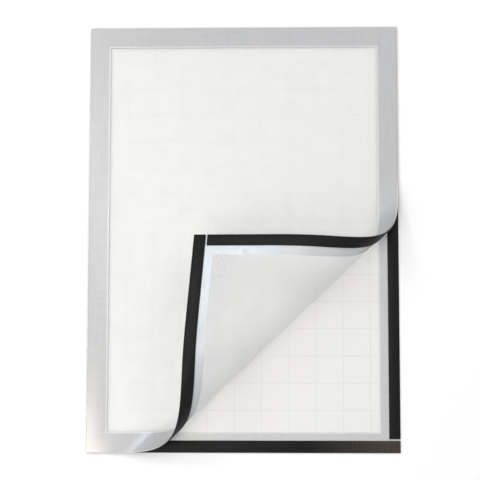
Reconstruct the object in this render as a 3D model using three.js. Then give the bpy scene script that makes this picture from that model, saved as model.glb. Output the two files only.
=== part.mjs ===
// A magnetic document pocket lying on its back, the lower right corner of its front sheet
// rolled back over itself. Millimetres, Z up, X to the right, Y to the top edge of the pocket.
import * as THREE from "three";

// The paper it holds, and how far the pocket reaches past it on every side.
const paperWidth = 210;
const paperHeight = 297;
const paperMargin = 10;
const pocketWidth = paperWidth + 2 * paperMargin;
const pocketHeight = paperHeight + 2 * paperMargin;

// The silver border, and the black magnet strips along its outer edge.
const borderWidth = 15;
const sideStripWidth = 8.2;
const endStripWidth = 8.9;
const stripGap = 1.2;

// Layers, from the release liner up to the front border.
const linerThickness = 0.1;
const filmThickness = 0.2;
const borderThickness = 0.1;
const magnetThickness = 0.6;
const glueLine = 0.05;
const hingeThickness = 0.15;

// The rolled corner, measured square to the straight lines that the sheet bends along.
const rollHeading = THREE.MathUtils.degToRad(46.44); // how far it turns down from the X axis
const rollReach = 164; // from the point of the corner back to where the sheet first lifts
const rollRadius = 22.3;
const leadIn = 28; // length over which the bend tightens to the roll radius, slowly at first
const easeOut = 54; // length over which the bend fades to a flat flap
const rollTurn = THREE.MathUtils.degToRad(199.2);
const facetLength = 1.6;

const silver = { color: 0xc6c6c4, roughness: 0.45, metalness: 0.35 };
const clearFilm = { color: 0xebeae7, roughness: 0.3, metalness: 0 };
const magnetBlack = { color: 0x222222, roughness: 0.6, metalness: 0 };
const linerWhite = { color: 0xf0efec, roughness: 0.6, metalness: 0 };

// Heights of the layers.
const backFilmBottom = linerThickness;
const backBorderBottom = backFilmBottom + filmThickness;
const backMagnetBottom = backBorderBottom + borderThickness;
const frontMagnetBottom = backMagnetBottom + magnetThickness;
const frontFilmBottom = frontMagnetBottom + magnetThickness + glueLine;
const frontBorderBottom = frontFilmBottom + filmThickness + glueLine;
const pocketThickness = frontBorderBottom + borderThickness;
const bendHeight = frontFilmBottom + filmThickness / 2; // this layer keeps its length in the roll

// Edges of the sheets in plan. The hinge film closes the left edge.
const left = -pocketWidth / 2 + hingeThickness;
const right = pocketWidth / 2;
const bottom = -pocketHeight / 2;
const top = pocketHeight / 2;

const rollAcross = new THREE.Vector2(Math.cos(rollHeading), -Math.sin(rollHeading));
const liftLine = new THREE.Vector2(right, bottom).dot(rollAcross) - rollReach;
const tightLength = rollRadius * rollTurn - leadIn / 3 - easeOut / 2;
const bentLength = leadIn + tightLength + easeOut;

// How far a point of the flat sheet lies past the line where the sheet lifts.
function pastLift(point) {
  return point.dot(rollAcross) - liftLine;
}

// Angle the sheet has turned through at a length past the lift line.
function turnAt(length) {
  if (length < leadIn) return length ** 3 / (3 * leadIn ** 2 * rollRadius);
  if (length < leadIn + tightLength) return (length - (2 / 3) * leadIn) / rollRadius;
  const rest = Math.max(bentLength - length, 0);
  return rollTurn - (rest * rest) / (2 * easeOut * rollRadius);
}

// The straight lines the sheet bends along: flat facets lie between them.
function rulings() {
  const count = Math.ceil(bentLength / facetLength);
  const lines = [{ length: 0, turn: 0, along: 0, up: 0 }];
  for (let i = 1; i <= count + 1; i++) {
    const before = lines[i - 1];
    const length = i > count ? bentLength + rollReach : (bentLength * i) / count;
    const turn = turnAt(length);
    const middle = (before.turn + turn) / 2;
    const step = length - before.length;
    const along = before.along + step * Math.cos(middle);
    const up = before.up + step * Math.sin(middle);
    lines.push({ length, turn, along, up });
  }
  return lines;
}

const lines = rulings();

// Where a point of the flat front sheet lies once the corner is rolled back.
function rolled(point, height) {
  const past = pastLift(point);
  if (past <= 0) return new THREE.Vector3(point.x, point.y, height);
  const index = lines.findIndex((line) => line.length >= past);
  const [from, to] = [lines[index - 1], lines[index]];
  const share = (past - from.length) / (to.length - from.length);
  const off = height - bendHeight;
  const alongOf = (line) => line.along - off * Math.sin(line.turn);
  const upOf = (line) => line.up + off * Math.cos(line.turn);
  const along = THREE.MathUtils.lerp(alongOf(from), alongOf(to), share);
  const up = THREE.MathUtils.lerp(upOf(from), upOf(to), share);
  const plan = point.clone().addScaledVector(rollAcross, along - past);
  return new THREE.Vector3(plan.x, plan.y, bendHeight + up);
}

function unmoved(point, height) {
  return new THREE.Vector3(point.x, point.y, height);
}

// The part of a convex outline past one ruling, or short of it when side is -1.
function clip(outline, length, side) {
  const kept = [];
  outline.forEach((point, i) => {
    const next = outline[(i + 1) % outline.length];
    const here = side * (pastLift(point) - length);
    const there = side * (pastLift(next) - length);
    if (here >= 0) kept.push(point);
    if (here * there < 0) kept.push(point.clone().lerp(next, here / (here - there)));
  });
  return kept;
}

// A convex outline cut along every ruling that crosses it.
function cells(outline) {
  const found = [];
  let rest = outline;
  for (const line of lines) {
    const cell = clip(rest, line.length, -1);
    if (cell.length > 2) found.push(cell);
    rest = clip(rest, line.length, 1);
    if (rest.length < 3) return found;
  }
  return [...found, rest];
}

function nameOf(point) {
  return point.x.toFixed(4) + "," + point.y.toFixed(4);
}

// Edges that only one cell has, which are the rim of the layer.
function rimOf(plan) {
  const rim = new Map();
  for (const cell of plan) {
    cell.forEach((point, i) => {
      const next = cell[(i + 1) % cell.length];
      const back = nameOf(next) + " " + nameOf(point);
      if (rim.has(back)) rim.delete(back);
      else rim.set(nameOf(point) + " " + nameOf(next), [point, next]);
    });
  }
  return [...rim.values()];
}

// A closed layer between two heights, over convex outlines that meet edge to edge.
function layer(name, outlines, low, thickness, look, place) {
  const high = low + thickness;
  const plan = place === rolled ? outlines.flatMap(cells) : outlines;
  const corners = [];
  for (const cell of plan) {
    const middle = cell.reduce((sum, point) => sum.add(point), new THREE.Vector2());
    middle.divideScalar(cell.length);
    cell.forEach((point, i) => {
      const next = cell[(i + 1) % cell.length];
      corners.push(place(middle, high), place(point, high), place(next, high));
      corners.push(place(middle, low), place(next, low), place(point, low));
    });
  }
  for (const [point, next] of rimOf(plan)) {
    corners.push(place(point, low), place(next, low), place(next, high));
    corners.push(place(point, low), place(next, high), place(point, high));
  }
  const geometry = new THREE.BufferGeometry().setFromPoints(corners);
  geometry.computeVertexNormals();
  const mesh = new THREE.Mesh(geometry, new THREE.MeshStandardMaterial(look));
  mesh.name = name;
  return mesh;
}

// A rectangle in plan, with any further points that lie along its edges.
function rectangle(x0, y0, x1, y1, lower = [], upper = []) {
  const points = [
    [x0, y0],
    ...lower.map((x) => [x, y0]),
    [x1, y0],
    [x1, y1],
    ...upper.map((x) => [x, y1]),
    [x0, y1],
  ];
  return points.map(([x, y]) => new THREE.Vector2(x, y));
}

// The four bars of the border, all round the window.
function borderOutlines() {
  const innerLeft = -pocketWidth / 2 + borderWidth;
  const innerRight = right - borderWidth;
  const innerBottom = bottom + borderWidth;
  const innerTop = top - borderWidth;
  return [
    rectangle(left, bottom, right, innerBottom, [], [innerRight, innerLeft]),
    rectangle(left, innerTop, right, top, [innerLeft, innerRight], []),
    rectangle(left, innerBottom, innerLeft, innerTop),
    rectangle(innerRight, innerBottom, right, innerTop),
  ];
}

// Four magnet strips: the end strips run the full width and the side strips stop short of them.
function magnetStrips(prefix, low, place) {
  const sideBottom = bottom + endStripWidth + stripGap;
  const sideTop = top - endStripWidth - stripGap;
  const outlines = {
    top: rectangle(left, top - endStripWidth, right, top),
    bottom: rectangle(left, bottom, right, bottom + endStripWidth),
    left: rectangle(left, sideBottom, left + sideStripWidth, sideTop),
    right: rectangle(right - sideStripWidth, sideBottom, right, sideTop),
  };
  return Object.entries(outlines).map(([side, outline]) =>
    layer(prefix + side, [outline], low, magnetThickness, magnetBlack, place),
  );
}

const sheet = [rectangle(left, bottom, right, top)];
const spine = [rectangle(-pocketWidth / 2, bottom, left, top)];

function backSheet() {
  return [
    layer("release_liner", sheet, 0, linerThickness, linerWhite, unmoved),
    layer("back_sheet", sheet, backFilmBottom, filmThickness, clearFilm, unmoved),
    layer("back_border", borderOutlines(), backBorderBottom, borderThickness, silver, unmoved),
    ...magnetStrips("back_magnet_", backMagnetBottom, unmoved),
  ];
}

function frontSheet() {
  return [
    ...magnetStrips("front_magnet_", frontMagnetBottom, rolled),
    layer("front_window", sheet, frontFilmBottom, filmThickness, clearFilm, rolled),
    layer("front_border", borderOutlines(), frontBorderBottom, borderThickness, silver, rolled),
  ];
}

// The film along the left edge that joins the front sheet to the back sheet.
function hinge() {
  const height = pocketThickness - backFilmBottom;
  return layer("hinge_film", spine, backFilmBottom, height, clearFilm, unmoved);
}

const pocket = new THREE.Group();
pocket.name = "magnetic_document_pocket";
pocket.add(...backSheet(), ...frontSheet(), hinge());

export default pocket;
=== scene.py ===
"""Looks of a magnetic document pocket that lies on its back with one corner of its front sheet rolled back.

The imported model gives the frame. Each layer of the pocket is modelled flat at its size and place, cut along
the straight lines that the sheet bends along, and then rolled.
"""

import logging
import math
from dataclasses import dataclass, field
from enum import Enum

import bmesh
import bpy
import numpy as np
from mathutils import Matrix, Vector

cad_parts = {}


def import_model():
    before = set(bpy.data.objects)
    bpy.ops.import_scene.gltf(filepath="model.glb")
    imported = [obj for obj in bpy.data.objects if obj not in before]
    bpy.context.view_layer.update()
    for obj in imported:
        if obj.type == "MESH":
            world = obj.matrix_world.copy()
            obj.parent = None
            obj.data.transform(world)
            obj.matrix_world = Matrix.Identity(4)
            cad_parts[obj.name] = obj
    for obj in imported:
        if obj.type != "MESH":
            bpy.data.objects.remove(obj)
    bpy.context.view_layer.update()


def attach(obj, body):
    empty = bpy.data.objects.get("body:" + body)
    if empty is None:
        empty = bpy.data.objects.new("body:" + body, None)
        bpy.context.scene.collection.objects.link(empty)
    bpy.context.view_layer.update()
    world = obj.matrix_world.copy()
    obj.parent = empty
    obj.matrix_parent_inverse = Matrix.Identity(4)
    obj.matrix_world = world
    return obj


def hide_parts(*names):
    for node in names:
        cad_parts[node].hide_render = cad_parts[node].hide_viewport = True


log = logging.getLogger("document_pocket")

MM = 0.001
MAP_UNIT = 0.1  # metres of flat sheet to one unit of the flat map
SAME_HEIGHT = 0.001 * MM
FLAT_NORMAL = 0.9  # a face whose normal has more Z than this looks up or down
BEVEL_ANGLE = math.radians(40)
SMOOTH_ANGLE = math.radians(30)
SENSOR_WIDTH = 36  # millimetres
LAMP_WATTS = 4  # for each square metre of a lamp's face, at a brightness of 1
Point = tuple[float, float, float]


class Side(Enum):
    """The four sides of the pocket, seen from its front."""

    TOP = "top"
    BOTTOM = "bottom"
    LEFT = "left"
    RIGHT = "right"


class Sheet(Enum):
    """The two sheets that open like a cover."""

    BACK = "back"
    FRONT = "front"


# Sizes


@dataclass(frozen=True)
class PocketSizes:
    """Sizes of the pocket in metres, as in the part's own source."""

    width: float = 230 * MM
    height: float = 317 * MM
    border: float = 15 * MM
    border_slope: float = 1.3 * MM
    side_strip: float = 8.2 * MM
    end_strip: float = 8.9 * MM
    strip_gap: float = 1.2 * MM
    liner: float = 0.1 * MM
    film: float = 0.2 * MM
    silver: float = 0.1 * MM
    magnet: float = 0.6 * MM
    glue: float = 0.05 * MM
    hinge: float = 0.15 * MM

    @property
    def left(self) -> float:
        """X of the sheets' left edge, beside the hinge film."""
        return -self.width / 2 + self.hinge

    @property
    def right(self) -> float:
        """X of the sheets' right edge."""
        return self.width / 2

    @property
    def bottom(self) -> float:
        """Y of the sheets' bottom edge."""
        return -self.height / 2

    @property
    def top(self) -> float:
        """Y of the sheets' top edge."""
        return self.height / 2

    @property
    def back_film(self) -> float:
        """Height of the back film's underside."""
        return self.liner

    @property
    def back_silver(self) -> float:
        """Height of the back border's underside."""
        return self.back_film + self.film

    @property
    def back_magnet(self) -> float:
        """Height of the back strips' underside."""
        return self.back_silver + self.silver

    @property
    def front_magnet(self) -> float:
        """Height of the front strips' underside."""
        return self.back_magnet + self.magnet

    @property
    def front_film(self) -> float:
        """Height of the front film's underside."""
        return self.front_magnet + self.magnet + self.glue

    @property
    def front_silver(self) -> float:
        """Height of the front border's underside."""
        return self.front_film + self.film + self.glue

    @property
    def thickness(self) -> float:
        """Height of the closed pocket."""
        return self.front_silver + self.silver


@dataclass(frozen=True)
class CornerRoll:
    """The bend of the front sheet's corner, measured square to the lines that it bends along."""

    sizes: PocketSizes
    heading: float = math.radians(46.44)
    reach: float = 164 * MM
    radius: float = 22.3 * MM
    lead_in: float = 28 * MM
    ease_out: float = 54 * MM
    turn: float = math.radians(199.2)
    ruling_step: float = 0.5 * MM
    curve_step: float = 0.05 * MM
    curve: tuple[np.ndarray, ...] = field(init=False, repr=False)

    def __post_init__(self) -> None:
        """Works out the section of the roll once."""
        length = np.arange(0.0, self.bent_length + self.reach, self.curve_step)
        turn = np.array([self.turn_at(s) for s in length])
        step = np.diff(length)
        middle = (turn[1:] + turn[:-1]) / 2
        along = np.concatenate([[0.0], np.cumsum(step * np.cos(middle))])
        up = np.concatenate([[0.0], np.cumsum(step * np.sin(middle))])
        object.__setattr__(self, "curve", (length, turn, along, up))

    @property
    def across(self) -> Vector:
        """Unit vector in plan, from the lift line towards the corner."""
        return Vector((math.cos(self.heading), -math.sin(self.heading), 0))

    @property
    def lift_line(self) -> float:
        """Distance from the origin to the line where the sheet lifts."""
        corner = Vector((self.sizes.right, self.sizes.bottom, 0))
        return corner.dot(self.across) - self.reach

    @property
    def tight_length(self) -> float:
        """Length of sheet bent to the roll's own radius."""
        return self.radius * self.turn - self.lead_in / 3 - self.ease_out / 2

    @property
    def bent_length(self) -> float:
        """Length of sheet that is bent at all."""
        return self.lead_in + self.tight_length + self.ease_out

    @property
    def bend_height(self) -> float:
        """Height of the layer that keeps its length, the middle of the film."""
        return self.sizes.front_film + self.sizes.film / 2

    def turn_at(self, length: float) -> float:
        """Angle the sheet has turned through.

        Args:
            length: Distance past the lift line, along the sheet.

        Returns:
            The angle in radians.
        """
        if length < self.lead_in:
            return length**3 / (3 * self.lead_in**2 * self.radius)
        if length < self.lead_in + self.tight_length:
            return (length - 2 * self.lead_in / 3) / self.radius
        rest = max(self.bent_length - length, 0.0)
        return self.turn - rest**2 / (2 * self.ease_out * self.radius)

    def place(self, points: np.ndarray) -> np.ndarray:
        """Moves points of the flat sheet to where they lie on the roll.

        Args:
            points: Rows of x, y and height on the flat sheet.

        Returns:
            Rows of x, y and z on the rolled sheet.
        """
        length, turn, along, up = self.curve
        heading = np.array(self.across)[:2]
        past = points[:, :2] @ heading - self.lift_line
        lifted = past > 0
        s = past[lifted]
        off = points[lifted, 2] - self.bend_height
        angle = np.interp(s, length, turn)
        forward = np.interp(s, length, along) - off * np.sin(angle) - s
        placed = points.copy()
        placed[lifted, :2] += forward[:, None] * heading
        placed[lifted, 2] = self.bend_height + np.interp(s, length, up) + off * np.cos(angle)
        return placed


# Modelling


def select_nothing() -> None:
    """Leaves object mode with nothing selected."""
    if bpy.context.mode != "OBJECT":
        bpy.ops.object.mode_set(mode="OBJECT")
    bpy.ops.object.select_all(action="DESELECT")


def choose(piece: bpy.types.Object) -> None:
    """Makes one object the only one selected, and active."""
    select_nothing()
    piece.select_set(True)
    bpy.context.view_layer.objects.active = piece


def slab(name: str, low: Point, high: Point) -> bpy.types.Object:
    """Adds a box at its size and place.

    Args:
        name: The object's name.
        low: Lowest corner.
        high: Highest corner.

    Returns:
        The new object, with its place in its mesh.
    """
    select_nothing()
    centre = [(a + b) / 2 for a, b in zip(low, high)]
    extent = [b - a for a, b in zip(low, high)]
    bpy.ops.mesh.primitive_cube_add(size=1, location=centre, scale=extent)
    bpy.ops.object.transform_apply(location=True, rotation=True, scale=True)
    piece = bpy.context.active_object
    piece.name = name
    piece.data.name = name
    return piece


def open_window(piece: bpy.types.Object, margin: float, slope: float) -> None:
    """Turns a slab into a ring whose inner edge slopes down to the window.

    Args:
        piece: The slab.
        margin: Width of the ring.
        slope: Width of the slope at its inner edge.
    """
    choose(piece)
    top = max(v.co.z for v in piece.data.vertices)
    bpy.ops.object.mode_set(mode="EDIT")
    bpy.ops.mesh.select_mode(type="FACE")
    mesh = bmesh.from_edit_mesh(piece.data)
    for face in mesh.faces:
        face.select_set(abs(face.normal.z) > FLAT_NORMAL)
    bmesh.update_edit_mesh(piece.data)
    bpy.ops.mesh.inset(thickness=margin)
    bpy.ops.mesh.bridge_edge_loops()
    bpy.ops.mesh.select_mode(type="VERT")
    mesh = bmesh.from_edit_mesh(piece.data)
    inside_x = max(v.co.x for v in mesh.verts) - margin / 2
    inside_y = max(v.co.y for v in mesh.verts) - margin / 2
    inner = [v for v in mesh.verts if abs(v.co.x) < inside_x and abs(v.co.y) < inside_y]
    half_x = max(v.co.x for v in inner)
    half_y = max(v.co.y for v in inner)
    middle_x = (half_x + min(v.co.x for v in inner)) / 2
    bpy.ops.mesh.select_all(action="DESELECT")
    for vert in inner:
        vert.select_set(vert.co.z > top - SAME_HEIGHT)
    mesh.select_flush_mode()
    bmesh.update_edit_mesh(piece.data)
    grow = (1 + slope / (half_x - middle_x), 1 + slope / half_y, 1)
    bpy.ops.transform.resize(value=grow, center_override=(middle_x, 0, top))
    bpy.ops.object.mode_set(mode="OBJECT")


def soften_edges(piece: bpy.types.Object, width: float, segments: int = 2) -> None:
    """Rounds the sharp edges with a Bevel modifier and applies it.

    Args:
        piece: The object.
        width: Width of the rounding.
        segments: Steps of the rounding.
    """
    choose(piece)
    bevel = piece.modifiers.new("softened", "BEVEL")
    bevel.width = width
    bevel.segments = segments
    bevel.limit_method = "ANGLE"
    bevel.angle_limit = BEVEL_ANGLE
    bevel.use_clamp_overlap = True
    bpy.ops.object.modifier_apply(modifier=bevel.name)


def cut_along_rulings(piece: bpy.types.Object, roll: CornerRoll) -> None:
    """Cuts a flat piece along the lines that the sheet bends along.

    Args:
        piece: The flat object.
        roll: The bend.
    """
    choose(piece)
    bpy.ops.object.mode_set(mode="EDIT")
    bpy.ops.mesh.select_mode(type="FACE")
    flat = np.array([v.co[:2] for v in piece.data.vertices])
    furthest = (flat @ np.array(roll.across)[:2]).max() - roll.lift_line
    count = int(min(furthest, roll.bent_length) / roll.ruling_step)
    for index in range(count + 1):
        bpy.ops.mesh.select_all(action="SELECT")
        spot = roll.across * (roll.lift_line + index * roll.ruling_step)
        bpy.ops.mesh.bisect(plane_co=spot, plane_no=roll.across)
    bpy.ops.object.mode_set(mode="OBJECT")


def lay_flat_map(piece: bpy.types.Object, along_x: bool) -> None:
    """Writes the flat place of each corner to a UV map, so that a pattern follows the sheet.

    Args:
        piece: The flat object.
        along_x: Whether U runs along X. Otherwise it runs along Y.
    """
    mesh = piece.data
    while mesh.uv_layers:
        mesh.uv_layers.remove(mesh.uv_layers[0])
    layer = mesh.uv_layers.new(name="flat")
    place = np.zeros(len(mesh.vertices) * 3)
    mesh.vertices.foreach_get("co", place)
    corner = np.zeros(len(mesh.loops), dtype=np.int64)
    mesh.loops.foreach_get("vertex_index", corner)
    order = (0, 1) if along_x else (1, 0)
    flat = place.reshape(-1, 3)[:, order][corner] / MAP_UNIT
    layer.data.foreach_set("uv", flat.ravel())


def roll_up(piece: bpy.types.Object, roll: CornerRoll) -> None:
    """Bends a flat piece round the roll. Blender's own bend needs a window, so the vertices are moved here.

    Args:
        piece: The flat object, already cut along the rulings.
        roll: The bend.
    """
    mesh = piece.data
    place = np.zeros(len(mesh.vertices) * 3)
    mesh.vertices.foreach_get("co", place)
    mesh.vertices.foreach_set("co", roll.place(place.reshape(-1, 3)).ravel())
    mesh.update()


def smooth(piece: bpy.types.Object) -> None:
    """Shades a piece smooth, with its sharp edges kept."""
    choose(piece)
    bpy.ops.object.shade_smooth_by_angle(angle=SMOOTH_ANGLE)


def dress(piece: bpy.types.Object, finish: bpy.types.Material, slot: str, *nodes: str) -> None:
    """Gives a piece its material, hangs it under the root and hides the CAD nodes that it stands for.

    Args:
        piece: The finished object.
        finish: Its material.
        slot: The record's material slot. Not used.
        nodes: CAD nodes that it replaces.
    """
    piece.data.materials.clear()
    piece.data.materials.append(finish)
    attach(piece, "root")
    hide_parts(*nodes)
    log.info("%s: %d faces", piece.name, len(piece.data.polygons))


# Shader helpers


def new_group(name: str, inputs: dict[str, float], outputs: dict[str, str]) -> bpy.types.ShaderNodeTree:
    """Makes an empty shader node group.

    Args:
        name: The group's name.
        inputs: Float inputs and their defaults.
        outputs: Outputs and their socket types.

    Returns:
        The group, with its input and output nodes.
    """
    group = bpy.data.node_groups.new(name, "ShaderNodeTree")
    for label, value in inputs.items():
        socket = group.interface.new_socket(label, in_out="INPUT", socket_type="NodeSocketFloat")
        socket.default_value = value
    for label, kind in outputs.items():
        group.interface.new_socket(label, in_out="OUTPUT", socket_type=kind)
    group.nodes.new("NodeGroupInput").name = "in"
    group.nodes.new("NodeGroupOutput").name = "out"
    return group


def add(tree: bpy.types.NodeTree, kind: str, **values: object) -> bpy.types.Node:
    """Adds a node.

    Args:
        tree: The node tree.
        kind: The node's type, without its ShaderNode prefix.
        values: Properties of the node.

    Returns:
        The node.
    """
    node = tree.nodes.new("ShaderNode" + kind)
    for key, value in values.items():
        setattr(node, key, value)
    return node


def math_node(
    tree: bpy.types.NodeTree, operation: str, first: object, second: object = 0.0
) -> bpy.types.NodeSocket:
    """Adds a Math node whose operands are sockets or numbers.

    Args:
        tree: The node tree.
        operation: The operation's name.
        first: First operand.
        second: Second operand.

    Returns:
        Its output socket.
    """
    node = add(tree, "Math", operation=operation)
    for socket, value in zip(node.inputs, (first, second)):
        if isinstance(value, bpy.types.NodeSocket):
            tree.links.new(value, socket)
        else:
            socket.default_value = value
    return node.outputs[0]


def axes_of(tree: bpy.types.NodeTree, kind: str) -> bpy.types.Node:
    """Adds texture coordinates, split in their axes.

    Args:
        tree: The node tree.
        kind: Which coordinates: UV, Object or Generated.

    Returns:
        The Separate XYZ node.
    """
    place = add(tree, "TexCoord")
    split = add(tree, "SeparateXYZ")
    tree.links.new(place.outputs[kind], split.inputs[0])
    return split


def ramp_between(tree: bpy.types.NodeTree, value: bpy.types.NodeSocket, low: float, high: float) -> bpy.types.Node:
    """Adds a Map Range node that spreads a range of values from 0 to 1.

    Args:
        tree: The node tree.
        value: The value.
        low: Where the range starts.
        high: Where it ends.

    Returns:
        The node, whose To Min and To Max may still be set.
    """
    ramp = add(tree, "MapRange")
    ramp.inputs["From Min"].default_value = low
    ramp.inputs["From Max"].default_value = high
    tree.links.new(value, ramp.inputs["Value"])
    return ramp


def laid_over(
    tree: bpy.types.NodeTree, mask: bpy.types.NodeSocket, under: bpy.types.NodeSocket, colour: Point
) -> bpy.types.NodeSocket:
    """Lays a plain colour over another where a mask is 1.

    Args:
        tree: The node tree.
        mask: The mask.
        under: The colour below.
        colour: The plain colour.

    Returns:
        The colour socket.
    """
    mix = add(tree, "Mix", data_type="RGBA")
    tree.links.new(mask, mix.inputs[0])
    tree.links.new(under, mix.inputs[6])
    mix.inputs[7].default_value = (*colour, 1)
    return mix.outputs[2]


class Effect:
    """A shader effect that several materials share, as one node group."""

    name: str
    inputs: dict[str, float]
    outputs: dict[str, str]

    def build(self) -> bpy.types.ShaderNodeTree:
        """Draws the group the first time that it is asked for.

        Returns:
            The node group.
        """
        if self.name in bpy.data.node_groups:
            return bpy.data.node_groups[self.name]
        tree = new_group(self.name, self.inputs, self.outputs)
        self.draw(tree, tree.nodes["in"], tree.nodes["out"])
        return tree

    def draw(self, tree: bpy.types.ShaderNodeTree, source: bpy.types.Node, sink: bpy.types.Node) -> None:
        """Draws the effect's nodes.

        Args:
            tree: The empty group.
            source: Its input node.
            sink: Its output node.
        """
        raise NotImplementedError


class GrainEffect(Effect):
    """Fine surface grain, with its bump and a mask for colour and roughness."""

    name = "fine_grain"
    inputs = {"Scale": 2000.0, "Stretch": 1.0, "Strength": 0.1, "Height": 0.00002}
    outputs = {"Mask": "NodeSocketFloat", "Normal": "NodeSocketVector"}
    detail = 3
    roughness = 0.6

    def draw(self, tree: bpy.types.ShaderNodeTree, source: bpy.types.Node, sink: bpy.types.Node) -> None:
        """Draws a noise, and the bump that it makes.

        Args:
            tree: The empty group.
            source: Its input node.
            sink: Its output node.
        """
        place = add(tree, "TexCoord")
        shape = add(tree, "CombineXYZ")
        tree.links.new(source.outputs["Stretch"], shape.inputs["X"])
        shape.inputs["Y"].default_value = 1
        shape.inputs["Z"].default_value = 1
        spread = add(tree, "VectorMath", operation="MULTIPLY")
        tree.links.new(place.outputs["UV"], spread.inputs[0])
        tree.links.new(shape.outputs[0], spread.inputs[1])
        noise = add(tree, "TexNoise", noise_dimensions="3D")
        noise.inputs["Detail"].default_value = self.detail
        noise.inputs["Roughness"].default_value = self.roughness
        tree.links.new(spread.outputs[0], noise.inputs["Vector"])
        tree.links.new(source.outputs["Scale"], noise.inputs["Scale"])
        bump = add(tree, "Bump")
        tree.links.new(noise.outputs["Fac"], bump.inputs["Height"])
        tree.links.new(source.outputs["Strength"], bump.inputs["Strength"])
        tree.links.new(source.outputs["Height"], bump.inputs["Distance"])
        tree.links.new(noise.outputs["Fac"], sink.inputs["Mask"])
        tree.links.new(bump.outputs["Normal"], sink.inputs["Normal"])


class WeaveEffect(Effect):
    """Fine crossed threads, as the calender leaves them in soft film."""

    name = "fine_weave"
    inputs = {"Threads": 120.0, "Low": 0.0, "High": 1.0}
    outputs = {"Value": "NodeSocketFloat"}
    drawn_out = 0.05  # how little the noise changes along a thread
    kept = (0.35, 0.65)

    def draw(self, tree: bpy.types.ShaderNodeTree, source: bpy.types.Node, sink: bpy.types.Node) -> None:
        """Draws two long noises that cross.

        Args:
            tree: The empty group.
            source: Its input node.
            sink: Its output node.
        """
        split = axes_of(tree, "UV")
        drawn = []
        for axis, other in (("X", "Y"), ("Y", "X")):
            shape = add(tree, "CombineXYZ")
            tree.links.new(split.outputs[axis], shape.inputs["X"])
            tree.links.new(math_node(tree, "MULTIPLY", split.outputs[other], self.drawn_out), shape.inputs["Y"])
            thread = add(tree, "TexNoise", noise_dimensions="2D")
            thread.inputs["Detail"].default_value = 1
            tree.links.new(shape.outputs[0], thread.inputs["Vector"])
            tree.links.new(source.outputs["Threads"], thread.inputs["Scale"])
            drawn.append(thread.outputs["Fac"])
        both = math_node(tree, "MULTIPLY", math_node(tree, "ADD", drawn[0], drawn[1]), 0.5)
        spread = ramp_between(tree, both, *self.kept)
        tree.links.new(source.outputs["Low"], spread.inputs["To Min"])
        tree.links.new(source.outputs["High"], spread.inputs["To Max"])
        tree.links.new(spread.outputs["Result"], sink.inputs["Value"])


class MottleEffect(Effect):
    """Broad soft patches, for the slight unevenness of film and the marks of handling."""

    name = "soft_mottle"
    inputs = {"Scale": 20.0, "Low": 0.0, "High": 1.0}
    outputs = {"Value": "NodeSocketFloat"}
    kept = (0.3, 0.7)

    def draw(self, tree: bpy.types.ShaderNodeTree, source: bpy.types.Node, sink: bpy.types.Node) -> None:
        """Draws one broad noise.

        Args:
            tree: The empty group.
            source: Its input node.
            sink: Its output node.
        """
        place = add(tree, "TexCoord")
        noise = add(tree, "TexNoise", noise_dimensions="3D")
        noise.inputs["Detail"].default_value = 2
        tree.links.new(place.outputs["Object"], noise.inputs["Vector"])
        tree.links.new(source.outputs["Scale"], noise.inputs["Scale"])
        spread = ramp_between(tree, noise.outputs["Fac"], *self.kept)
        tree.links.new(source.outputs["Low"], spread.inputs["To Min"])
        tree.links.new(source.outputs["High"], spread.inputs["To Max"])
        tree.links.new(spread.outputs["Result"], sink.inputs["Value"])


def place_group(tree: bpy.types.NodeTree, effect: Effect, **values: float) -> bpy.types.Node:
    """Places an effect's group in a material with its own values.

    Args:
        tree: The material's node tree.
        effect: The effect.
        values: Values of its inputs.

    Returns:
        The group node.
    """
    node = add(tree, "Group")
    node.node_tree = effect.build()
    for label, value in values.items():
        node.inputs[label].default_value = value
    return node


def new_material(name: str) -> tuple[bpy.types.Material, bpy.types.NodeTree, bpy.types.Node]:
    """Makes a material with one Principled shader.

    Args:
        name: The material's name.

    Returns:
        The material, its tree and the shader.
    """
    material = bpy.data.materials.new(name)
    material.use_nodes = True
    tree = material.node_tree
    shader = tree.nodes["Principled BSDF"]
    return material, tree, shader


def tinted(tree: bpy.types.NodeTree, mask: bpy.types.NodeSocket, low: Point, high: Point) -> bpy.types.NodeSocket:
    """Blends two colours by a mask.

    Args:
        tree: The node tree.
        mask: The mask.
        low: Colour where the mask is 0.
        high: Colour where the mask is 1.

    Returns:
        The colour socket.
    """
    mix = add(tree, "Mix", data_type="RGBA")
    mix.inputs[6].default_value = (*low, 1)
    mix.inputs[7].default_value = (*high, 1)
    tree.links.new(mask, mix.inputs[0])
    return mix.outputs[2]


# Finishes


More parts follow.
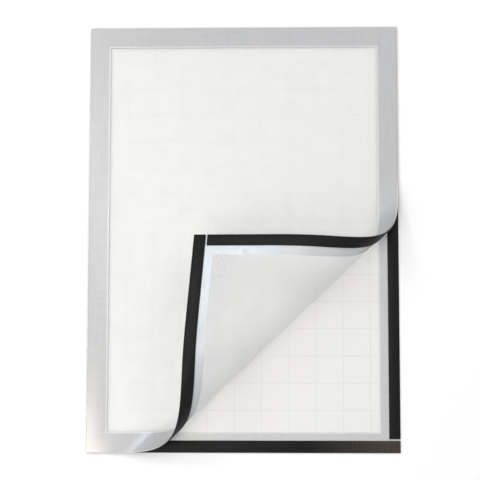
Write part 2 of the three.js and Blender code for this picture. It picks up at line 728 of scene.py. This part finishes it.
@dataclass(frozen=True)
class SilverFinish:
    """Satin metallic silver printed on film."""

    name: str
    dark: Point
    light: Point
    metallic: float
    roughness: float
    grain: float = 0.25
    coat: float = 0.2
    gloss: float = 0.9
    # Darker olive band along the outer edge: painted shade.
    rim: Point = (0.36, 0.365, 0.33)
    rim_width: float = 0.45 * MM
    # Lighter band along the ring's inner edge, where it slopes down to the window: a painted highlight.
    inner_edge_highlight: Point = (0.63, 0.63, 0.655)
    inner_highlight_width: float = 1.0 * MM
    # Pale colour on the outer edge towards the lifted corner: a painted highlight, where the cut edge rises and
    # catches the light.
    painted_light: Point = (0.80, 0.80, 0.79)
    painted_light_from: float = 10 * MM  # past the line where the sheet lifts
    painted_light_all: float = 30 * MM
    patchy: float = 0.03
    thread_shade: float = 0.25
    sizes: PocketSizes = PocketSizes()

    def near_edge(self, tree: bpy.types.NodeTree, reach: float, outside: bool) -> bpy.types.NodeSocket:
        """A mask by the distance from the sheet's edge, read from the flat map.

        Args:
            tree: The material's node tree.
            reach: Distance from the edge.
            outside: Whether the mask is 1 within that distance. Otherwise it is 1 beyond it.

        Returns:
            The mask.
        """
        split = axes_of(tree, "UV")
        half = (self.sizes.width / 2, self.sizes.height / 2)
        away = [math_node(tree, "ABSOLUTE", split.outputs[axis]) for axis in ("X", "Y")]
        past = [math_node(tree, "SUBTRACT", a, (h - reach) / MAP_UNIT) for a, h in zip(away, half)]
        outer = math_node(tree, "MAXIMUM", *past)
        return math_node(tree, "GREATER_THAN" if outside else "LESS_THAN", outer, 0.0)

    def near_corner(self, tree: bpy.types.NodeTree) -> bpy.types.NodeSocket:
        """A mask towards the corner that is lifted in use, where the cut edge gets a painted highlight.

        Args:
            tree: The material's node tree.

        Returns:
            The mask.
        """
        roll = CornerRoll(self.sizes)
        place = add(tree, "TexCoord")
        along = add(tree, "VectorMath", operation="DOT_PRODUCT")
        along.inputs[1].default_value = roll.across
        tree.links.new(place.outputs["UV"], along.inputs[0])
        reach = [(roll.lift_line + past) / MAP_UNIT for past in (self.painted_light_from, self.painted_light_all)]
        return ramp_between(tree, along.outputs["Value"], *reach).outputs["Result"]

    def build(self) -> bpy.types.Material:
        """Builds the material.

        Returns:
            The material.
        """
        material, tree, shader = new_material(self.name)
        flake = place_group(tree, GrainEffect(), Scale=420, Stretch=1, Strength=self.grain, Height=0.00003)
        rough = {"Low": self.roughness - self.patchy, "High": self.roughness + self.patchy}
        cloud = place_group(tree, MottleEffect(), Scale=28, **rough)
        threads = place_group(tree, WeaveEffect(), Threads=90, Low=-self.thread_shade, High=self.thread_shade)
        shade = math_node(tree, "ADD", flake.outputs["Mask"], threads.outputs["Value"])
        printed = tinted(tree, shade, self.dark, self.light)
        # Painted highlight: a lighter band along the inner edge, where the ring slopes down to the window.
        inner_edge_highlight = self.near_edge(tree, self.sizes.border - self.inner_highlight_width, False)
        # Painted shade: a darker olive band along the ring's outer edge.
        rim = self.near_edge(tree, self.rim_width, True)
        lined = laid_over(tree, inner_edge_highlight, printed, self.inner_edge_highlight)
        edged = laid_over(tree, rim, lined, self.rim)
        # Painted highlight: the outer edge turns pale towards the lifted corner.
        painted_highlight = math_node(tree, "MULTIPLY", rim, self.near_corner(tree))
        tree.links.new(laid_over(tree, painted_highlight, edged, self.painted_light), shader.inputs["Base Color"])
        tree.links.new(flake.outputs["Normal"], shader.inputs["Normal"])
        tree.links.new(cloud.outputs["Value"], shader.inputs["Roughness"])
        shader.inputs["Metallic"].default_value = self.metallic
        shader.inputs["Coat Weight"].default_value = self.gloss
        shader.inputs["Coat Roughness"].default_value = self.coat
        return material


@dataclass(frozen=True)
class FilmFinish:
    """Clear flexible film, mostly see-through, with a clean gloss.

    Its haze is the body's, and more where it is seen on a slant, or less if the edge is below 0. The gloss is the
    roughness of its surface and the shine is how much it mirrors. The shade is the share of its haze that stops light.
    """

    name: str
    tint: Point
    body: float
    edge: float
    gloss: float
    shine: float = 0.04
    shade: float = 0.12
    patchy: float = 0.08
    thread_shade: float = 0.96
    slant_power: float = 3.0
    rim_power: float = 5.0
    rim_shine: float = 0.3

    def seen_share(self, tree: bpy.types.NodeTree) -> bpy.types.NodeSocket:
        """1 for what is seen, and less for light on its way through, which film scatters but hardly stops.

        Args:
            tree: The material's node tree.

        Returns:
            The share.
        """
        ray = add(tree, "LightPath")
        seen = math_node(tree, "MAXIMUM", ray.outputs["Is Camera Ray"], ray.outputs["Is Glossy Ray"])
        return math_node(tree, "MAXIMUM", seen, self.shade)

    def build(self) -> bpy.types.Material:
        """Builds the material.

        Returns:
            The material.
        """
        material, tree, shader = new_material(self.name)
        slant = add(tree, "LayerWeight")
        slant.inputs["Blend"].default_value = 0.5
        facing = slant.outputs["Facing"]
        steep = math_node(tree, "POWER", facing, self.slant_power)
        hazy = {"Low": self.body * (1 - self.patchy), "High": self.body * (1 + self.patchy)}
        patch = place_group(tree, MottleEffect(), Scale=35, **hazy)
        denser = math_node(tree, "MULTIPLY", steep, self.edge)
        shown = self.seen_share(tree)
        haze = math_node(tree, "MAXIMUM", math_node(tree, "ADD", patch.outputs["Value"], denser), 0.0)
        tree.links.new(math_node(tree, "MULTIPLY", haze, shown), shader.inputs["Alpha"])
        grain = place_group(tree, GrainEffect(), Scale=260, Stretch=1, Strength=0.015, Height=0.00001)
        threads = place_group(tree, WeaveEffect(), Threads=60, Low=0.0, High=1.0)
        low = tuple(c * self.thread_shade for c in self.tint)
        tree.links.new(tinted(tree, threads.outputs["Value"], low, self.tint), shader.inputs["Base Color"])
        tree.links.new(grain.outputs["Normal"], shader.inputs["Normal"])
        shader.inputs["Roughness"].default_value = self.gloss
        mirror = add(tree, "BsdfGlossy")
        mirror.inputs["Roughness"].default_value = self.gloss
        tree.links.new(grain.outputs["Normal"], mirror.inputs["Normal"])
        coat = add(tree, "MixShader")
        side = add(tree, "NewGeometry")
        outer = math_node(tree, "SUBTRACT", 1.0, side.outputs["Backfacing"])
        grazing = math_node(tree, "POWER", facing, self.rim_power)
        rim = math_node(tree, "ADD", self.shine, math_node(tree, "MULTIPLY", grazing, self.rim_shine))
        sheen = math_node(tree, "MULTIPLY", math_node(tree, "MULTIPLY", rim, outer), shown)
        tree.links.new(sheen, coat.inputs[0])
        tree.links.new(shader.outputs[0], coat.inputs[1])
        tree.links.new(mirror.outputs[0], coat.inputs[2])
        tree.links.new(coat.outputs[0], tree.nodes["Material Output"].inputs["Surface"])
        return material


@dataclass(frozen=True)
class MagnetFinish:
    """Satin black flexible magnet with fine lines along its length."""

    name: str = "black_flexible_magnet"
    # A painted gleam: warm brown-grey specks, growing towards the strip's end by the opened corner.
    scuffed: bool = False
    scuff: Point = (0.17, 0.13, 0.105)
    dark: Point = (0.006, 0.006, 0.006)
    light: Point = (0.014, 0.0135, 0.013)
    specular: float = 0.1
    gleam_from: float = 48 * MM
    gleam_all: float = 105 * MM
    speck_floor: float = 0.38
    speck_gain: float = 2.6

    def painted_highlight(self, tree: bpy.types.NodeTree, colour: bpy.types.NodeSocket) -> bpy.types.NodeSocket:
        """Lays a painted gleam, as fine warm brown-grey specks, over the strip towards the corner that is opened in
        use.

        Args:
            tree: The material's node tree.
            colour: The strip's own colour.

        Returns:
            The colour socket.
        """
        along = axes_of(tree, "UV").outputs["X"]
        patch = ramp_between(tree, along, self.gleam_from / MAP_UNIT, self.gleam_all / MAP_UNIT)
        specks = place_group(tree, GrainEffect(), Scale=210, Stretch=0.5, Strength=0, Height=0)
        above = math_node(tree, "SUBTRACT", specks.outputs["Mask"], self.speck_floor)
        fine = math_node(tree, "MULTIPLY", above, self.speck_gain)
        held = add(tree, "Clamp")
        tree.links.new(math_node(tree, "MULTIPLY", fine, patch.outputs["Result"]), held.inputs["Value"])
        return laid_over(tree, held.outputs[0], colour, self.scuff)

    def build(self) -> bpy.types.Material:
        """Builds the material.

        Returns:
            The material.
        """
        material, tree, shader = new_material(self.name)
        lines = place_group(tree, GrainEffect(), Scale=240, Stretch=0.03, Strength=0.35, Height=0.00004)
        cloud = place_group(tree, MottleEffect(), Scale=60, Low=0.32, High=0.46)
        colour = tinted(tree, lines.outputs["Mask"], self.dark, self.light)
        if self.scuffed:
            colour = self.painted_highlight(tree, colour)
        tree.links.new(colour, shader.inputs["Base Color"])
        tree.links.new(lines.outputs["Normal"], shader.inputs["Normal"])
        tree.links.new(cloud.outputs["Value"], shader.inputs["Roughness"])
        shader.inputs["Specular IOR Level"].default_value = self.specular
        return material


@dataclass(frozen=True)
class LinerFinish:
    """White release paper with a faint ruled grid."""

    name: str = "ruled_release_paper"
    white: Point = (0.853, 0.843, 0.819)
    line: Point = (0.725, 0.72, 0.715)
    pitch: float = 20 * MM
    line_width: float = 0.42 * MM
    first_x: float = 13.6 * MM
    first_y: float = 12.2 * MM
    ink: float = 0.4  # how much of a line is there where the paper's fibres are bare

    def ruled(self, tree: bpy.types.NodeTree, axis: bpy.types.NodeSocket, first: float) -> bpy.types.NodeSocket:
        """Lines square to one axis.

        Args:
            tree: The node tree.
            axis: Coordinate along the axis.
            first: Place of one of the lines.

        Returns:
            A mask, 1 on the lines.
        """
        moved = math_node(tree, "ADD", axis, self.pitch / 2 - first)
        share = math_node(tree, "FRACT", math_node(tree, "DIVIDE", moved, self.pitch))
        away = math_node(tree, "ABSOLUTE", math_node(tree, "SUBTRACT", share, 0.5))
        return math_node(tree, "LESS_THAN", away, self.line_width / self.pitch / 2)

    def build(self) -> bpy.types.Material:
        """Builds the material.

        Returns:
            The material.
        """
        material, tree, shader = new_material(self.name)
        split = axes_of(tree, "Object")
        upright = self.ruled(tree, split.outputs["X"], self.first_x)
        level = self.ruled(tree, split.outputs["Y"], self.first_y)
        lines = math_node(tree, "MAXIMUM", upright, level)
        fibre = place_group(tree, GrainEffect(), Scale=180, Stretch=1, Strength=0.2, Height=0.00003)
        broken = math_node(tree, "MULTIPLY", lines, math_node(tree, "ADD", fibre.outputs["Mask"], self.ink))
        tree.links.new(tinted(tree, broken, self.white, self.line), shader.inputs["Base Color"])
        tree.links.new(fibre.outputs["Normal"], shader.inputs["Normal"])
        cloud = place_group(tree, MottleEffect(), Scale=25, Low=0.5, High=0.6)
        tree.links.new(cloud.outputs["Value"], shader.inputs["Roughness"])
        return material


@dataclass(frozen=True)
class Finishes:
    """Every material of the pocket."""

    silver: bpy.types.Material
    silver_reverse: bpy.types.Material
    silver_back: bpy.types.Material
    film: bpy.types.Material
    window: bpy.types.Material
    window_inside: bpy.types.Material
    magnet: bpy.types.Material
    magnet_scuffed: bpy.types.Material
    liner: bpy.types.Material

    @classmethod
    def build(cls) -> "Finishes":
        """Builds the materials once.

        Returns:
            The set.
        """
        face = SilverFinish(
            "satin_silver", dark=(0.425, 0.425, 0.43), light=(0.505, 0.505, 0.51), metallic=0.08, roughness=0.42
        )
        reverse = SilverFinish(
            "silver_through_film",
            dark=(0.46, 0.49, 0.53),
            light=(0.52, 0.55, 0.60),
            metallic=0.2,
            roughness=0.3,
            inner_edge_highlight=(0.50, 0.53, 0.58),
        )
        inner = SilverFinish(
            "silver_inside", dark=(0.47, 0.47, 0.47), light=(0.55, 0.55, 0.545), metallic=0.15, roughness=0.4
        )
        film = FilmFinish("clear_film", (0.94, 0.94, 0.935), body=0.06, edge=0.35, gloss=0.27)
        window = FilmFinish(
            "matte_window_film", (0.93, 0.93, 0.915), body=0.21, edge=-0.2, gloss=0.45, shine=0.03, shade=0.5
        )
        # The film's underside is tinted darker than its face: painted shade.
        lining = FilmFinish(
            "window_film_inside", (0.865, 0.865, 0.86), body=0.22, edge=-0.2, gloss=0.3, shine=0.012, shade=0.5
        )
        return cls(
            silver=face.build(),
            silver_reverse=reverse.build(),
            silver_back=inner.build(),
            film=film.build(),
            window=window.build(),
            window_inside=lining.build(),
            magnet=MagnetFinish().build(),
            magnet_scuffed=MagnetFinish("flexible_magnet_painted_gleam", True).build(),
            liner=LinerFinish().build(),
        )


# Sub-assemblies


@dataclass
class LayeredSheet:
    """What the two sheets share: film, silver ring and four magnet strips."""

    sizes: PocketSizes
    finishes: Finishes
    sheet: Sheet
    roll: CornerRoll | None = None

    def finish_flat(self, piece: bpy.types.Object, along_x: bool = True) -> None:
        """Maps a flat piece, rolls it if its sheet is rolled, and smooths it.

        Args:
            piece: The flat object.
            along_x: Whether its grain runs along X.
        """
        if self.roll is not None:
            cut_along_rulings(piece, self.roll)
        lay_flat_map(piece, along_x)
        if self.roll is not None:
            roll_up(piece, self.roll)
        smooth(piece)

    def whole(self, name: str, low: float, thickness: float) -> bpy.types.Object:
        """A slab the full size of the sheet.

        Args:
            name: The object's name.
            low: Height of its underside.
            thickness: Its thickness.

        Returns:
            The slab.
        """
        size = self.sizes
        return slab(name, (size.left, size.bottom, low), (size.right, size.top, low + thickness))

    def ring(self, name: str, low: float) -> bpy.types.Object:
        """The silver ring.

        Args:
            name: The object's name.
            low: Height of its underside.

        Returns:
            The ring, still flat.
        """
        piece = self.whole(name, low, self.sizes.silver)
        open_window(piece, self.sizes.border, self.sizes.border_slope)
        return piece

    def strip_box(self, side: Side) -> tuple[float, float, float, float]:
        """Plan of one magnet strip.

        Args:
            side: Which side of the pocket.

        Returns:
            Lowest x, lowest y, highest x and highest y.
        """
        size = self.sizes
        low = size.bottom + size.end_strip + size.strip_gap
        high = size.top - size.end_strip - size.strip_gap
        plans = {
            Side.TOP: (size.left, size.top - size.end_strip, size.right, size.top),
            Side.BOTTOM: (size.left, size.bottom, size.right, size.bottom + size.end_strip),
            Side.LEFT: (size.left, low, size.left + size.side_strip, high),
            Side.RIGHT: (size.right - size.side_strip, low, size.right, high),
        }
        return plans[side]

    def strips(self, low: float) -> None:
        """Models and dresses the four magnet strips.

        Args:
            low: Height of their underside.
        """
        for side in Side:
            x0, y0, x1, y1 = self.strip_box(side)
            node = f"{self.sheet.value}_magnet_{side.value}"
            piece = slab(f"{node}_strip", (x0, y0, low), (x1, y1, low + self.sizes.magnet))
            soften_edges(piece, 0.08 * MM)
            self.finish_flat(piece, side in (Side.TOP, Side.BOTTOM))
            # The back's bottom strip gets the painted gleam.
            painted_light = self.sheet is Sheet.BACK and side is Side.BOTTOM
            finish = self.finishes.magnet_scuffed if painted_light else self.finishes.magnet
            dress(piece, finish, "magnet_strip", node)


@dataclass
class BackSheet(LayeredSheet):
    """The liner, the back film, its silver ring and its magnet strips."""

    def build(self) -> None:
        """Models and dresses the back sheet."""
        size = self.sizes
        liner = self.whole("release_paper", 0, size.liner)
        self.finish_flat(liner)
        dress(liner, self.finishes.liner, "liner", "release_liner")
        film = self.whole("back_film", size.back_film, size.film)
        self.finish_flat(film)
        dress(film, self.finishes.film, "clear_film", "back_sheet")
        ring = self.ring("back_silver_ring", size.back_silver)
        self.finish_flat(ring)
        dress(ring, self.finishes.silver_back, "silver_border", "back_border")
        self.strips(size.back_magnet)


@dataclass
class FrontSheet(LayeredSheet):
    """The clear window, its silver ring and its magnet strips, rolled back at one corner."""

    def build(self) -> None:
        """Models and dresses the front sheet."""
        size = self.sizes
        self.strips(size.front_magnet)
        film = self.whole("front_film", size.front_film, size.film)
        self.finish_two_faced(film, self.finishes.window, self.finishes.window_inside)
        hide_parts("front_window")
        ring = self.ring("front_silver_ring", size.front_silver)
        self.finish_two_faced(ring, self.finishes.silver, self.finishes.silver_reverse)
        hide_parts("front_border")

    def finish_two_faced(
        self, piece: bpy.types.Object, outer: bpy.types.Material, inner: bpy.types.Material
    ) -> None:
        """Rolls a flat piece whose underside looks other than its face, and dresses both.

        Args:
            piece: The flat object.
            outer: Material of its face and edges.
            inner: Material of its underside.
        """
        cut_along_rulings(piece, self.roll)
        under = [face.index for face in piece.data.polygons if face.normal.z < -FLAT_NORMAL]
        lay_flat_map(piece, True)
        roll_up(piece, self.roll)
        smooth(piece)
        piece.data.materials.clear()
        piece.data.materials.append(outer)
        piece.data.materials.append(inner)
        for index in under:
            piece.data.polygons[index].material_index = 1
        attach(piece, "root")
        log.info("%s: %d faces", piece.name, len(piece.data.polygons))


@dataclass
class HingeFilm:
    """The film that joins the two sheets along the left edge."""

    sizes: PocketSizes
    finishes: Finishes

    def build(self) -> None:
        """Models and dresses the hinge."""
        size = self.sizes
        low = (-size.width / 2, size.bottom, size.back_film)
        piece = slab("hinge_strip", low, (size.left, size.top, size.thickness))
        soften_edges(piece, 0.05 * MM)
        lay_flat_map(piece, False)
        smooth(piece)
        dress(piece, self.finishes.film, "clear_film", "hinge_film")


# Studio


@dataclass(frozen=True)
class SoftBox:
    """A soft lamp: where it stands, what it faces and how bright its face is."""

    name: str
    place: Point
    aim: Point
    width: float
    depth: float
    brightness: float
    colour: Point

    def build(self) -> None:
        """Adds the lamp."""
        data = bpy.data.lights.new(self.name, "AREA")
        data.shape = "RECTANGLE"
        data.size = self.width
        data.size_y = self.depth
        data.energy = LAMP_WATTS * self.width * self.depth * self.brightness
        data.color = self.colour
        lamp = bpy.data.objects.new(self.name, data)
        bpy.context.scene.collection.objects.link(lamp)
        lamp.location = self.place
        lamp.rotation_mode = "QUATERNION"
        lamp.rotation_quaternion = (Vector(self.place) - Vector(self.aim)).to_track_quat("Z", "Y")


@dataclass
class Studio:
    """The floor, the soft light and the camera."""

    camera_place: Point = (0.02234, -0.10157, 0.99458)
    camera_right: Point = (0.999692, 0.000979, -0.024780)
    camera_up: Point = (0.001495, 0.995025, 0.099619)
    focal_px: float = 1344.95
    frame_px: float = 480.0
    sky: Point = (0.97, 0.98, 1.0)
    sky_strength: float = 0.54
    horizon_strength: float = 0.04
    floor_size: float = 6.0
    floor_gap: float = 0.02 * MM
    floor_grey: float = 0.9
    floor_glow: float = 0.14
    far_glow: float = 0.62
    glow_from: float = 0.3
    glow_all: float = 1.8
    film_faces: int = 24
    lamps: tuple[SoftBox, ...] = (
        SoftBox("upper_right_box", (0.80, 0.80, 1.15), (0, 0, 0), 1.2, 1.2, 1.15, (0.97, 0.985, 1.0)),
        SoftBox("lower_left_box", (-0.80, -0.80, 1.15), (0, 0, 0), 1.2, 1.2, 1.35, (1.0, 0.99, 0.97)),
        SoftBox("upper_left_window", (-0.85, 0.72, 1.15), (0, 0, 0), 0.6, 0.6, 3.6, (0.88, 0.94, 1.0)),
        SoftBox("warm_card", (-0.346, -0.25, 1.5), (-0.1, -0.15, 0), 0.13, 0.13, 36.0, (1.0, 0.93, 0.82)),
        SoftBox("left_card", (-0.32, 0.30, 1.5), (-0.1, 0.03, 0), 0.2, 0.65, 4.2, (1.0, 0.985, 0.96)),
    )

    def camera(self) -> None:
        """Adds the camera where the photograph was taken from."""
        data = bpy.data.cameras.new("photo_camera")
        data.sensor_width = SENSOR_WIDTH
        data.lens = self.focal_px / self.frame_px * SENSOR_WIDTH
        right, up = Vector(self.camera_right), Vector(self.camera_up)
        back = right.cross(up)
        turn = Matrix((right, up, back)).transposed().to_4x4()
        eye = bpy.data.objects.new("photo_camera", data)
        bpy.context.scene.collection.objects.link(eye)
        eye.matrix_world = Matrix.Translation(self.camera_place) @ turn
        bpy.context.scene.camera = eye

    def show_white(self, tree: bpy.types.NodeTree) -> bpy.types.NodeSocket:
        """1 for what the camera sees directly, in a reflection or through something clear.

        Args:
            tree: The node tree.

        Returns:
            The mask.
        """
        ray = add(tree, "LightPath")
        seen = math_node(tree, "MAXIMUM", ray.outputs["Is Camera Ray"], ray.outputs["Is Glossy Ray"])
        return math_node(tree, "MAXIMUM", seen, ray.outputs["Is Transmission Ray"])

    def floor(self) -> None:
        """Adds the plain pale floor."""
        select_nothing()
        bpy.ops.mesh.primitive_plane_add(size=self.floor_size, location=(0, 0, -self.floor_gap))
        bpy.ops.object.transform_apply(location=True, rotation=True, scale=True)
        floor = bpy.context.active_object
        floor.name = "floor"
        material, tree, shader = new_material("plain_floor")
        shader.inputs["Base Color"].default_value = (self.floor_grey, self.floor_grey, self.floor_grey, 1)
        shader.inputs["Roughness"].default_value = 0.9
        shader.inputs["Specular IOR Level"].default_value = 0.0
        shader.inputs["Emission Color"].default_value = (1, 1, 1, 1)
        place = add(tree, "TexCoord")
        away = add(tree, "VectorMath", operation="LENGTH")
        tree.links.new(place.outputs["Object"], away.inputs[0])
        ramp = ramp_between(tree, away.outputs["Value"], self.glow_from, self.glow_all)
        ramp.inputs["To Min"].default_value = self.floor_glow
        ramp.inputs["To Max"].default_value = self.far_glow
        glow = math_node(tree, "MULTIPLY", self.show_white(tree), ramp.outputs["Result"])
        tree.links.new(glow, shader.inputs["Emission Strength"])
        floor.data.materials.append(material)

    def sky_light(self) -> None:
        """Lights the scene from above, and less towards the horizon."""
        world = bpy.data.worlds.new("soft_studio")
        bpy.context.scene.world = world
        world.use_nodes = True
        tree = world.node_tree
        tree.nodes.clear()
        even = add(tree, "Background")
        even.inputs["Color"].default_value = (*self.sky, 1)
        height = math_node(tree, "MAXIMUM", axes_of(tree, "Generated").outputs["Z"], 0.0)
        rise = self.sky_strength - self.horizon_strength
        light = math_node(tree, "ADD", math_node(tree, "MULTIPLY", height, rise), self.horizon_strength)
        seen = self.show_white(tree)
        extra = math_node(tree, "MULTIPLY", seen, math_node(tree, "SUBTRACT", 1.0, light))
        tree.links.new(math_node(tree, "ADD", extra, light), even.inputs["Strength"])
        end = add(tree, "OutputWorld")
        tree.links.new(even.outputs[0], end.inputs["Surface"])

    def build(self) -> None:
        """Builds the studio."""
        self.camera()
        self.floor()
        self.sky_light()
        for lamp in self.lamps:
            lamp.build()
        bpy.context.scene.view_settings.view_transform = "Standard"
        bpy.context.scene.cycles.transparent_max_bounces = self.film_faces


def main() -> None:
    """Builds the pocket and its studio."""
    logging.basicConfig(level=logging.INFO, format="%(message)s")
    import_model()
    sizes = PocketSizes()
    finishes = Finishes.build()
    BackSheet(sizes, finishes, Sheet.BACK).build()
    FrontSheet(sizes, finishes, Sheet.FRONT, CornerRoll(sizes)).build()
    HingeFilm(sizes, finishes).build()
    Studio().build()


if __name__ == "__main__":
    main()
